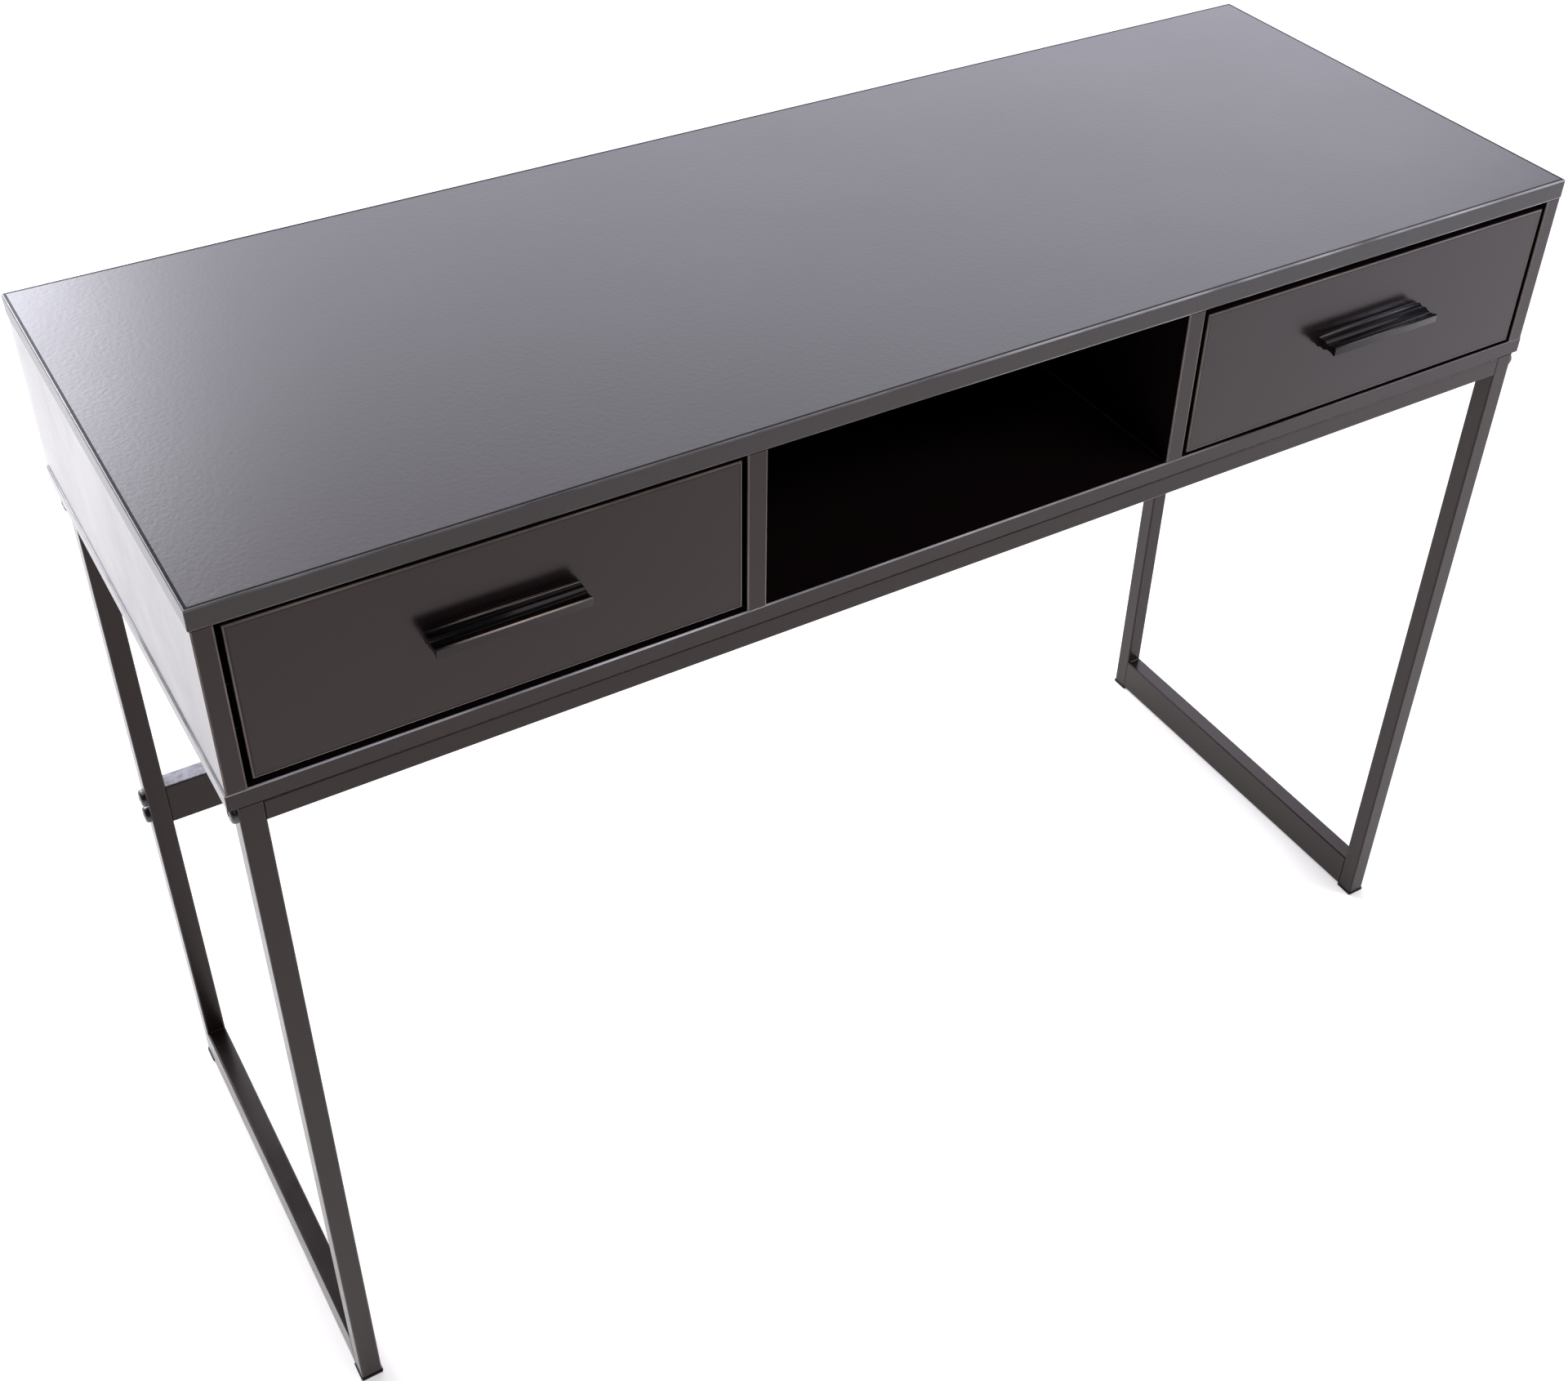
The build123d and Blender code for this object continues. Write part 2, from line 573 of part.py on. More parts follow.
def drawer_box(name: str, bay_x: float, pull_z: float) -> None:
    """Boards of one drawer box, and the screws that hold them.

    Args:
        name: prefix of the node names.
        bay_x: middle of the drawer.
        pull_z: height of the pull's screws.
    """
    box_mid_z = (BOX_Z + BOX_TOP) / 2
    groove_low = BOX_FRONT_Y + BOX_T - BASE_GROOVE
    groove_high = BOX_BACK_Y - BOX_T + BASE_GROOVE
    ends_y = {"box_front": BOX_FRONT_Y + BOX_T / 2, "back": BOX_BACK_Y - BOX_T / 2}
    screw_depth = 40.0 - BOX_T

    for end_name, end_y in ends_y.items():
        with BuildPart() as end_board:
            with Locations((bay_x, end_y, box_mid_z)):
                Box(BOX_INNER_W, BOX_T, BOX_H)
            base_groove(bay_x, groove_low, groove_high)
            for wall in (-1, 1):
                starts = [(bay_x + wall * BOX_INNER_W / 2, end_y, z) for z in BOX_SCREWS_Z]
                bore(starts, 3.6 + FIT, screw_depth, (-wall, 0, 0))
            if end_name == "box_front":
                places = [(bay_x + x, end_y - BOX_T, z) for x in FRONT_SCREWS_X for z in FRONT_SCREWS_Z]
                bore(places, 6.0, 2 * BOX_T, (0, 1, 0))
                pulls = [(bay_x + x, end_y - BOX_T, pull_z) for x in (-PULL_PITCH / 2, PULL_PITCH / 2)]
                bore(pulls, 6.0, 2 * BOX_T, (0, 1, 0))
        save(end_board, f"{name}_{end_name}")

    for side_name, wall in (("left", -1), ("right", 1)):
        with BuildPart() as side_board:
            outer_x = bay_x + wall * BOX_HALF_W
            with Locations((outer_x - wall * BOX_T / 2, BOX_FRONT_Y + BOX_L / 2, box_mid_z)):
                Box(BOX_T, BOX_L, BOX_H)
            fillet(side_board.edges().filter_by(Axis.Y).group_by(Axis.Z)[-1], 1.5)
            base_groove(bay_x, groove_low, groove_high)
            for end_y in ends_y.values():
                for screw_z in BOX_SCREWS_Z:
                    with Locations(Plane(origin=(outer_x, end_y, screw_z), z_dir=(wall, 0, 0))):
                        CounterSinkHole(1.8 + FIT, BOX_SCREW_HEAD_D / 2 + FIT, BOX_T)
            pilots = [(outer_x, y, SLIDE_Z) for y in SLIDE_SCREWS_Y]
            bore(pilots, 3.2 + FIT, SLIDE_SCREW_L - SLIDE_T + 0.5, (-wall, 0, 0))
        save(side_board, f"{name}_{side_name}_side")

    with BuildPart() as base:
        base_w = BOX_INNER_W + 2 * BASE_GROOVE - 0.6
        base_l = groove_high - groove_low - 0.6
        with Locations((bay_x, (groove_low + groove_high) / 2, BASE_Z + BOX_BASE_T / 2)):
            Box(base_w, base_l, BOX_BASE_T)
    save(base, f"{name}_base")

    places = [
        pointing((bay_x + wall * BOX_HALF_W, y, z), (wall, 0, 0))
        for wall in (-1, 1)
        for y in ends_y.values()
        for z in BOX_SCREWS_Z
    ]
    group(box_screw, places, f"{name}_box_screws")


def drawer_front(name: str, bay_x: float, front_z: float, pull_z: float) -> None:
    """Decorative front of one drawer, its pull, and the screws through both.

    Args:
        name: prefix of the node names.
        bay_x: middle of the drawer.
        front_z: height of the middle of the front.
        pull_z: height of the middle of the pull.
    """
    seat_y = BOX_FRONT_Y + BOX_T
    with BuildPart() as front:
        with Locations((bay_x, FRONT_Y + FRONT_T / 2, front_z)):
            Box(BAY_W - 2 * FRONT_GAP, FRONT_T, FRONT_H)
        fillet(front.edges().group_by(Axis.Y)[0], EDGE_R)
        places = [(bay_x + x, BOX_FRONT_Y, z) for x in FRONT_SCREWS_X for z in FRONT_SCREWS_Z]
        bore(places, 4 + FIT, FRONT_SCREW_L - BOX_T + 0.5, (0, -1, 0))
        pulls = [(bay_x + x, BOX_FRONT_Y, pull_z) for x in (-PULL_PITCH / 2, PULL_PITCH / 2)]
        bore(pulls, 4.6, FRONT_T, (0, -1, 0))
    save(front, f"{name}_front")

    screws = [
        pointing((bay_x + x, seat_y, z), (0, 1, 0)) for x in FRONT_SCREWS_X for z in FRONT_SCREWS_Z
    ]
    group(pan_screw(FRONT_SCREW_L), screws, f"{name}_front_screws")
    screws = [
        pointing((bay_x + x, seat_y, pull_z), (0, 1, 0)) for x in (-PULL_PITCH / 2, PULL_PITCH / 2)
    ]
    group(pan_screw(PULL_SCREW_L), screws, f"{name}_pull_screws")

    with BuildPart() as pull:
        section_plane = Plane(
            origin=(bay_x, FRONT_Y, pull_z), x_dir=(0, -1, 0), z_dir=(-1, 0, 0)
        )
        with BuildSketch(section_plane) as section:
            with BuildLine():
                foot = Line((0, -4.8), (0, 4.8))
                upper_waist = ThreePointArc(foot @ 1, (1.8, 3.2), (4.9, 3.1))
                upper_ridge = ThreePointArc(upper_waist @ 1, (5.6, 3.7), (6.6, 3.4))
                upper_scoop = ThreePointArc(upper_ridge @ 1, (11.6, 1.9), (16.8, 3.4))
                lip_top = Line(upper_scoop @ 1, (PULL_PROJECTION, 3.5))
                lip = Line(lip_top @ 1, (PULL_PROJECTION, -3.5))
                lip_bottom = Line(lip @ 1, (16.8, -3.4))
                lower_scoop = ThreePointArc(lip_bottom @ 1, (11.6, -1.9), (6.6, -3.4))
                lower_ridge = ThreePointArc(lower_scoop @ 1, (5.6, -3.7), (4.9, -3.1))
                ThreePointArc(lower_ridge @ 1, (1.8, -3.2), foot @ 0)
            make_face()
        extrude(section.sketch, amount=PULL_L / 2, both=True)
        taps = [(bay_x + x, FRONT_Y, pull_z) for x in (-PULL_PITCH / 2, PULL_PITCH / 2)]
        bore(taps, 4 + FIT, 6.6, (0, -1, 0))
    save(pull, f"{name}_pull")


slide_screw_places = []
for drawer_name, drawer_side, lift in (
    ("left_drawer", -1, LEFT_FRONT_LIFT),
    ("right_drawer", 1, RIGHT_FRONT_LIFT),
):
    drawer_x = drawer_side * DRAWER_X
    middle_z = BAY_MID_Z + lift
    cabinet_slides(drawer_name, drawer_x)
    drawer_runners(drawer_name, drawer_x)
    drawer_box(drawer_name, drawer_x, middle_z + PULL_RISE)
    drawer_front(drawer_name, drawer_x, middle_z, middle_z + PULL_RISE)
    for wall_side in (-1, 1):
        web_x = drawer_x + wall_side * (BAY_W / 2 - SLIDE_T)
        for screw_y in SLIDE_SCREWS_Y:
            slide_screw_places.append(pointing((web_x, screw_y, SLIDE_Z), (-wall_side, 0, 0)))
group(slide_screw, slide_screw_places, "cabinet_slide_screws")
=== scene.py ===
"""Looks of a writing desk: black melamine case boards, a powder-coated tube frame and ribbed pulls.

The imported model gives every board, tube and fitting. This script dresses them in their finishes,
models the two drawer pulls and the frame's weld beads, and sets up the studio.
All lengths are in metres unless a name ends in _mm.
"""

import json
import logging
import math
from dataclasses import dataclass, field
from enum import Enum
from typing import Any, Callable, Iterable

import bpy
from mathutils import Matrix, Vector

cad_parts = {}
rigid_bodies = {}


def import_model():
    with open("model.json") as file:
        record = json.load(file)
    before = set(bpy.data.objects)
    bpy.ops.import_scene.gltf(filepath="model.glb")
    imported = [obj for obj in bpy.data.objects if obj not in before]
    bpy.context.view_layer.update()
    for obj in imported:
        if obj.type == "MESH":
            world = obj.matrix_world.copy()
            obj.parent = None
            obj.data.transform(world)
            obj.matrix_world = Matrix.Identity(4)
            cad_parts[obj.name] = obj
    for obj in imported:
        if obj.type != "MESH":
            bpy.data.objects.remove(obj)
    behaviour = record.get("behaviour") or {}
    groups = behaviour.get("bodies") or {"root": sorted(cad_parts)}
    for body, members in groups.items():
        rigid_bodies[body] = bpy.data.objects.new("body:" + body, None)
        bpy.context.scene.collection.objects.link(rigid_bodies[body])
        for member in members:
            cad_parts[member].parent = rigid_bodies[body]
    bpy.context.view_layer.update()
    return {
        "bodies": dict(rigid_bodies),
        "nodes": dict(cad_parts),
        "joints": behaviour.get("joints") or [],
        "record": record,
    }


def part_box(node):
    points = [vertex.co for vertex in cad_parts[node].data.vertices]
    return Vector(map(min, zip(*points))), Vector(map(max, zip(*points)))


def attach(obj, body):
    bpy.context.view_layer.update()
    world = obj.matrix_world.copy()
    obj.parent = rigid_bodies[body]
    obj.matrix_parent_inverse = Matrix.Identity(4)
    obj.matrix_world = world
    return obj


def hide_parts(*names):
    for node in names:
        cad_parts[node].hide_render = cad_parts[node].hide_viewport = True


LOG = logging.getLogger("writing_desk")
MM = 0.001
# Noise textures keep almost wholly within this range.
NOISE_LOW = 0.3
NOISE_HIGH = 0.7
# How far a vertex may lie from a cut and still belong to it.
CUT_REACH = 0.02 * MM
Colour = tuple[float, float, float, float]
Source = tuple[bpy.types.Node, str | int]


class Side(Enum):
    """Left or right of the desk, as a sign along X."""

    LEFT = -1
    RIGHT = 1

    @property
    def word(self) -> str:
        """The side's name in lower case, as node names use it."""
        return self.name.lower()


class Row(Enum):
    """Front or rear of the frame."""

    FRONT = "front"
    REAR = "rear"


class Slot(Enum):
    """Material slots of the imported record."""

    CASE_BOARD = "case_board"
    DRAWER_BOARD = "drawer_board"
    HARDBOARD = "hardboard"
    FRAME_STEEL = "frame_steel"
    SLIDE_STEEL = "slide_steel"
    ZINC = "zinc_hardware"
    BLACK_BOLT = "black_bolt"
    PULL = "pull_aluminium"
    NYLON = "nylon"
    FOOT = "foot_plastic"
    DOWEL = "dowel_beech"


# ---------------------------------------------------------------------------
# Colour and node helpers
# ---------------------------------------------------------------------------
def linear(hex_code: str) -> Colour:
    """Turn an sRGB hex colour into linear RGBA.

    Args:
        hex_code: six hex digits, with or without a leading #.

    Returns:
        Linear red, green and blue, with an alpha of 1.
    """
    digits = hex_code.lstrip("#")
    channels = [int(digits[i : i + 2], 16) / 255 for i in (0, 2, 4)]
    spread = [c / 12.92 if c <= 0.04045 else ((c + 0.055) / 1.055) ** 2.4 for c in channels]
    return (spread[0], spread[1], spread[2], 1.0)


def add_node(
    tree: bpy.types.NodeTree,
    kind: str,
    inputs: dict[str | int, Any] | None = None,
    links: dict[str | int, Source] | None = None,
    **settings: Any,
) -> bpy.types.Node:
    """Add one shader node with its settings, input values and incoming links.

    Args:
        tree: node tree of the material.
        kind: node type name.
        inputs: input name or index to value.
        links: input name or index to (node, output name or index).
        **settings: node attributes, such as operation.

    Returns:
        The new node.
    """
    node = tree.nodes.new(kind)
    for name, value in settings.items():
        setattr(node, name, value)
    for name, value in (inputs or {}).items():
        node.inputs[name].default_value = value
    for name, (source, output) in (links or {}).items():
        tree.links.new(source.outputs[output], node.inputs[name])
    return node


def find_node(tree: bpy.types.NodeTree, kind: str) -> bpy.types.Node:
    """The first node of a kind in a tree."""
    return next(node for node in tree.nodes if node.type == kind)


def scale_for(size_mm: float) -> float:
    """Noise scale whose features are about this many millimetres apart."""
    return 1.0 / (size_mm * MM)


# ---------------------------------------------------------------------------
# Finishes
# ---------------------------------------------------------------------------
@dataclass(frozen=True)
class Finish:
    """A surface finish: a principled shader with colour, gloss and relief from nodes.

    Args:
        name: material name.
        tone: main colour, sRGB hex.
        tone_low: darker colour of its faint mottling, sRGB hex.
        gloss: lowest roughness.
        gloss_spread: how much the roughness rises in duller patches.
        patch_mm: size of the colour and gloss patches.
        relief_mm: spacing of the fine relief.
        relief_depth_mm: depth of the fine relief.
        metallic: 1 for bare metal.
        ior: index of refraction; metals keep the default.
        tint: colour that the finish lends to what it reflects, sRGB hex.
        stretch: scale of the relief along X, Y and Z, for grain and rolling marks.
    """

    name: str
    tone: str
    tone_low: str
    gloss: float = 0.3
    gloss_spread: float = 0.06
    patch_mm: float = 60.0
    relief_mm: float = 1.4
    relief_depth_mm: float = 0.01
    metallic: float = 0.0
    ior: float = 1.5
    tint: str = "#ffffff"
    stretch: tuple[float, float, float] = (1.0, 1.0, 1.0)

    def material(self, piece: bpy.types.Object | None = None) -> bpy.types.Material:
        """Make the finish, or hand back the one already made.

        Args:
            piece: object that the finish is for, when its pattern follows the piece's edges.

        Returns:
            The material.
        """
        known = bpy.data.materials.get(self.name)
        return known if known else self.build(self.name)

    def build(self, name: str) -> bpy.types.Material:
        """Build the material's nodes under a name."""
        material = bpy.data.materials.new(name)
        material.use_nodes = True
        tree = material.node_tree
        tree.nodes.clear()
        place = add_node(tree, "ShaderNodeTexCoord")
        shader = add_node(tree, "ShaderNodeBsdfPrincipled", {"Metallic": self.metallic})
        if self.metallic < 0.5:
            shader.inputs["IOR"].default_value = self.ior
            shader.inputs["Specular Tint"].default_value = linear(self.tint)
        patches = add_node(
            tree,
            "ShaderNodeTexNoise",
            {"Scale": scale_for(self.patch_mm), "Detail": 3.0, "Roughness": 0.6},
            {"Vector": (place, "Object")},
        )
        mottle = add_node(
            tree,
            "ShaderNodeMix",
            {6: linear(self.tone_low), 7: linear(self.tone)},
            {0: (patches, 0)},
            data_type="RGBA",
        )
        gloss = add_node(
            tree,
            "ShaderNodeMapRange",
            {
                "From Min": NOISE_LOW,
                "From Max": NOISE_HIGH,
                "To Min": self.gloss,
                "To Max": self.gloss + self.gloss_spread,
            },
            {"Value": (patches, 0)},
        )
        stretched = add_node(
            tree, "ShaderNodeMapping", {"Scale": self.stretch}, {"Vector": (place, "Object")}
        )
        relief = add_node(
            tree,
            "ShaderNodeTexNoise",
            {"Scale": scale_for(self.relief_mm), "Detail": 2.0, "Roughness": 0.5},
            {"Vector": (stretched, 0)},
        )
        bump = add_node(
            tree,
            "ShaderNodeBump",
            {"Strength": 1.0, "Distance": self.relief_depth_mm * MM},
            {"Height": (relief, 0)},
        )
        colour, rough = self.detail(tree, place, (mottle, 2), (gloss, 0))
        tree.links.new(colour[0].outputs[colour[1]], shader.inputs["Base Color"])
        tree.links.new(rough[0].outputs[rough[1]], shader.inputs["Roughness"])
        tree.links.new(bump.outputs[0], shader.inputs["Normal"])
        self.tune(shader)
        add_node(tree, "ShaderNodeOutputMaterial", links={"Surface": (shader, 0)})
        return material

    def detail(
        self, tree: bpy.types.NodeTree, place: bpy.types.Node, colour: Source, rough: Source
    ) -> tuple[Source, Source]:
        """Hook for a finish that adds to the colour and roughness."""
        return colour, rough

    def tune(self, shader: bpy.types.Node) -> None:
        """Hook for a finish that sets more of the shader's own values."""


@dataclass(frozen=True)
class Melamine(Finish):
    """Fibreboard pressed with a satin melamine paper and edged with a glued band.

    The resin gives a soft sheen with a pearl texture. A paler colour is painted along every
    rounded edge as a highlight, stronger in some stretches than in others. The glue joint of the
    edge band shows as a hairline just inside the edges of the broad faces.

    Args:
        rub_mm: how far the painted edge highlight reaches round an edge.
        rub_tone: colour of the painted edge highlight, sRGB hex.
        rub_least: share of the highlight colour in the faintest stretches.
        rub_range: noise levels at which a stretch is faintest and brightest.
        rub_top_only: paint the highlight only along the edges of the upper, right-hand or rear broad
            face.
        rub_fade_mm: places along X between which the painted highlight sets in, or dies out when the
            first is the greater.
        rub_patch_mm: length of the highlighted stretches.
        rub_faded: share of the highlight left where it has died out.
        joint_mm: distance of the glue joint from the edge.
        joint_width_mm: width of the joint, drawn wider than the real one so that it shows.
        joint_tone: colour of the glue joint, sRGB hex.
        joint_gloss: share of the shine that the sunken joint keeps.
        gloss_level: the shader's neutral specular level.
    """

    rub_mm: float = 1.05
    rub_tone: str = "#5f5e64"
    rub_least: float = 0.1
    rub_range: tuple[float, float] = (0.35, 0.62)
    rub_top_only: bool = False
    rub_fade_mm: tuple[float, float] | None = None
    rub_patch_mm: float = 110.0
    rub_faded: float = 0.12
    joint_mm: float = 1.8
    joint_width_mm: float = 0.8
    joint_tone: str = "#060506"
    joint_gloss: float = 0.25
    gloss_level: float = 0.5

    def material(self, piece: bpy.types.Object | None = None) -> bpy.types.Material:
        """Make the finish for one board, so that its edges and joint follow that board."""
        if piece is None:
            return super().material()
        name = f"{self.name}_{piece.name}"
        known = bpy.data.materials.get(name)
        return known if known else self.for_board(name, *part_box(piece.name))

    def for_board(self, name: str, low: Vector, high: Vector) -> bpy.types.Material:
        """Build the finish with the painted edge highlight and the glue joint of one board.

        Args:
            name: material name.
            low: lowest corner of the board.
            high: highest corner of the board.

        Returns:
            The material.
        """
        material = self.build(name)
        tree = material.node_tree
        shader = find_node(tree, "BSDF_PRINCIPLED")
        place = find_node(tree, "TEX_COORD")
        insets = self.insets(tree, place, (low + high) / 2, (high - low) / 2)
        rim = add_node(
            tree,
            "ShaderNodeMath",
            links={0: (insets[0], 0), 1: (insets[1], 0)},
            operation="MAXIMUM",
        )
        # Painted highlight: a band of paler colour along the board's edges, varied along its length.
        edge_highlight_band = add_node(
            tree,
            "ShaderNodeMath",
            {1: self.rub_mm * MM},
            {0: (rim, 0)},
            operation="LESS_THAN",
        )
        stretches = add_node(
            tree,
            "ShaderNodeTexNoise",
            {"Scale": scale_for(self.rub_patch_mm), "Detail": 4.0, "Roughness": 0.65},
            {"Vector": (place, "Object")},
        )
        share = add_node(
            tree,
            "ShaderNodeMapRange",
            {
                "From Min": self.rub_range[0],
                "From Max": self.rub_range[1],
                "To Min": self.rub_least,
                "To Max": 1.0,
            },
            {"Value": (stretches, 0)},
        )
        edge_highlight = add_node(
            tree,
            "ShaderNodeMath",
            links={0: (edge_highlight_band, 0), 1: (share, 0)},
            operation="MULTIPLY",
        )
        # The painted highlight sets in or dies out along X.
        if self.rub_fade_mm:
            start, end = sorted(self.rub_fade_mm)
            rising = self.rub_fade_mm[0] < self.rub_fade_mm[1]
            along = add_node(tree, "ShaderNodeSeparateXYZ", links={0: (place, "Object")})
            fade = add_node(
                tree,
                "ShaderNodeMapRange",
                {
                    "From Min": start * MM,
                    "From Max": end * MM,
                    "To Min": self.rub_faded if rising else 1.0,
                    "To Max": 1.0 if rising else self.rub_faded,
                },
                {"Value": (along, 0)},
            )
            edge_highlight = add_node(
                tree,
                "ShaderNodeMath",
                links={0: (edge_highlight, 0), 1: (fade, 0)},
                operation="MULTIPLY",
            )
        line = add_node(
            tree,
            "ShaderNodeMath",
            {1: self.joint_mm * MM, 2: self.joint_width_mm * MM / 2},
            {0: (insets[0], 0)},
            operation="COMPARE",
        )
        film = shader.inputs["Base Color"].links[0].from_socket
        jointed = add_node(
            tree,
            "ShaderNodeMix",
            {7: linear(self.joint_tone)},
            {0: (line, 0)},
            data_type="RGBA",
        )
        tree.links.new(film, jointed.inputs[6])
        # Mix the painted edge highlight over the film and its joint.
        edged = add_node(
            tree,
            "ShaderNodeMix",
            {7: linear(self.rub_tone)},
            {0: (edge_highlight, 0), 6: (jointed, 2)},
            data_type="RGBA",
        )
        tree.links.new(edged.outputs[2], shader.inputs["Base Color"])
        dulled = add_node(
            tree,
            "ShaderNodeMapRange",
            {"To Min": self.gloss_level, "To Max": self.gloss_level * self.joint_gloss},
            {"Value": (line, 0)},
        )
        tree.links.new(dulled.outputs[0], shader.inputs["Specular IOR Level"])
        return material

    def insets(
        self, tree: bpy.types.NodeTree, place: bpy.types.Node, centre: Vector, half: Vector
    ) -> tuple[bpy.types.Node, bpy.types.Node]:
        """Distances inwards from the board's narrow edges and from its broad faces.

        Args:
            tree: node tree of the material.
            place: texture coordinate node.
            centre: middle of the board.
            half: half the board's size.

        Returns:
            The node of the distance from the nearest narrow edge, and from the nearest face.
        """
        thin = min(range(3), key=lambda axis: half[axis])
        moved = add_node(
            tree,
            "ShaderNodeVectorMath",
            {1: tuple(centre)},
            {0: (place, "Object")},
            operation="SUBTRACT",
        )
        split = add_node(tree, "ShaderNodeSeparateXYZ", links={0: (moved, 0)})
        depth: list[bpy.types.Node] = []
        for axis in range(3):
            source: Source = (split, axis)
            if not (self.rub_top_only and axis == thin):
                reach = add_node(tree, "ShaderNodeMath", links={0: source}, operation="ABSOLUTE")
                source = (reach, 0)
            inward = {0: half[axis]}, {1: source}
            depth.append(add_node(tree, "ShaderNodeMath", *inward, operation="SUBTRACT"))
        face = depth.pop(thin)
        edge = add_node(
            tree,
            "ShaderNodeMath",
            links={0: (depth[0], 0), 1: (depth[1], 0)},
            operation="MINIMUM",
        )
        return edge, face


@dataclass(frozen=True)
class Brushed(Finish):
    """Metal drawn or rolled along one direction, with its reflection spread across the lines.

    Args:
        anisotropic: how strongly the reflection is spread.
    """

    anisotropic: float = 0.4

    def tune(self, shader: bpy.types.Node) -> None:
        """Spread the reflection across the drawing marks."""
        shader.inputs["Anisotropic"].default_value = self.anisotropic


@dataclass(frozen=True)
class DustyTop(Finish):
    """A coated tube with a pale highlight painted on its level top face.

    Args:
        dust: colour of the painted highlight, sRGB hex.
        level: share of the top that the highlight covers where it is strongest.
        film_mm: how far down from the top the painted highlight reaches.
        grain_mm: size of the highlight's patches.
        thinnest: share of the level that is left where the highlight is faintest.
    """

    dust: str = "#a9acb8"
    level: float = 0.6
    film_mm: float = 0.4
    grain_mm: float = 7.0
    thinnest: float = 0.3

    def material(self, piece: bpy.types.Object | None = None) -> bpy.types.Material:
        """Make the finish for one tube, so that the painted highlight lies on that tube's top."""
        material = super().material()
        if piece is None:
            return material
        tree = material.node_tree
        shader = find_node(tree, "BSDF_PRINCIPLED")
        place = find_node(tree, "TEX_COORD")
        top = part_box(piece.name)[1].z
        split = add_node(tree, "ShaderNodeSeparateXYZ", links={0: (place, "Object")})
        level = add_node(
            tree,
            "ShaderNodeMath",
            {1: top - self.film_mm * MM},
            {0: (split, 2)},
            operation="GREATER_THAN",
        )
        grain = add_node(
            tree,
            "ShaderNodeTexNoise",
            {"Scale": scale_for(self.grain_mm), "Detail": 5.0, "Roughness": 0.7},
            {"Vector": (place, "Object")},
        )
        share = add_node(
            tree,
            "ShaderNodeMapRange",
            {
                "From Min": NOISE_LOW,
                "From Max": 0.6,
                "To Min": self.thinnest * self.level,
                "To Max": self.level,
            },
            {"Value": (grain, 0)},
        )
        # Painted highlight: paler colour over the top face, in patches.
        top_highlight = add_node(
            tree,
            "ShaderNodeMath",
            links={0: (level, 0), 1: (share, 0)},
            operation="MULTIPLY",
        )
        coat = shader.inputs["Base Color"].links[0].from_socket
        highlighted_top = add_node(
            tree,
            "ShaderNodeMix",
            {7: linear(self.dust)},
            {0: (top_highlight, 0)},
            data_type="RGBA",
        )
        tree.links.new(coat, highlighted_top.inputs[6])
        tree.links.new(highlighted_top.outputs[2], shader.inputs["Base Color"])
        return material


@dataclass(frozen=True)
class Timber(Finish):
    """Sanded wood with its annual rings drawn out along the grain.

    Args:
        ring_mm: width of one ring.
        rings_per_scale: rings that the wave texture draws at a scale of 1.
    """

    ring_mm: float = 1.6
    rings_per_scale: float = 20.0

    def detail(
        self, tree: bpy.types.NodeTree, place: bpy.types.Node, colour: Source, rough: Source
    ) -> tuple[Source, Source]:
        """Lay darker rings over the colour."""
        rings = add_node(
            tree,
            "ShaderNodeTexWave",
            {
                "Scale": scale_for(self.ring_mm) / self.rings_per_scale,
                "Distortion": 3.0,
                "Detail": 2.0,
            },
            {"Vector": (place, "Object")},
        )
        mixed = add_node(
            tree,
            "ShaderNodeMix",
            {7: linear(self.tone_low)},
            {0: (rings, 1), 6: colour},
            data_type="RGBA",
        )
        return (mixed, 2), rough


# Melamine-faced fibreboard, pressed between satin plates: black, with a soft wide sheen.
# A pale highlight is painted along its edges, setting in towards the right.
CASE_MELAMINE = Melamine(
    "black_melamine", tone="#150e0f", tone_low="#110b0c", gloss=0.295, gloss_spread=0.025,
    patch_mm=90.0, relief_mm=3.2, relief_depth_mm=0.07, ior=1.52, tint="#fff7f4",
    rub_tone="#a6a6ab", rub_fade_mm=(-120.0, 160.0), rub_faded=0.3, joint_mm=2.0,
    joint_width_mm=1.8, joint_gloss=0.1,
)
# The same melamine pressed on polished plates for the faces seen upright: reflections are crisper.
# A tan highlight is painted along its edges.
FRONT_MELAMINE = Melamine(
    "black_melamine_upright", tone="#150e0f", tone_low="#110b0c", gloss=0.19, gloss_spread=0.05,
    patch_mm=80.0, relief_mm=3.0, relief_depth_mm=0.012, ior=1.43, tint="#ffedea",
    rub_tone="#6b615a", rub_least=0.3, joint_gloss=0.7,
)
# The bottom board: a bright highlight is painted along the rim of its upper face, dying out towards
# the right.
PAINTED_RIM_HIGHLIGHT_MELAMINE = Melamine(
    "black_melamine_scraped_edge", tone="#150e0f", tone_low="#110b0c", gloss=0.2,
    gloss_spread=0.05, patch_mm=80.0, relief_mm=3.0, relief_depth_mm=0.012, ior=1.43,
    tint="#ffedea", rub_mm=1.0, rub_tone="#c6c7cd", rub_least=0.12, rub_patch_mm=160.0,
    rub_top_only=True, rub_fade_mm=(260.0, 60.0),
)
# Paper foil on fibreboard drawer boards: flatter and duller than the melamine.
# A faint paler highlight is painted along its edges.
DRAWER_FOIL = Melamine(
    "charcoal_paper_foil", tone="#2a2828", tone_low="#232121", gloss=0.42, gloss_spread=0.08,
    patch_mm=70.0, relief_mm=3.0, relief_depth_mm=0.012, ior=1.5, stretch=(1.0, 0.12, 1.0),
    rub_tone="#55504c",
)
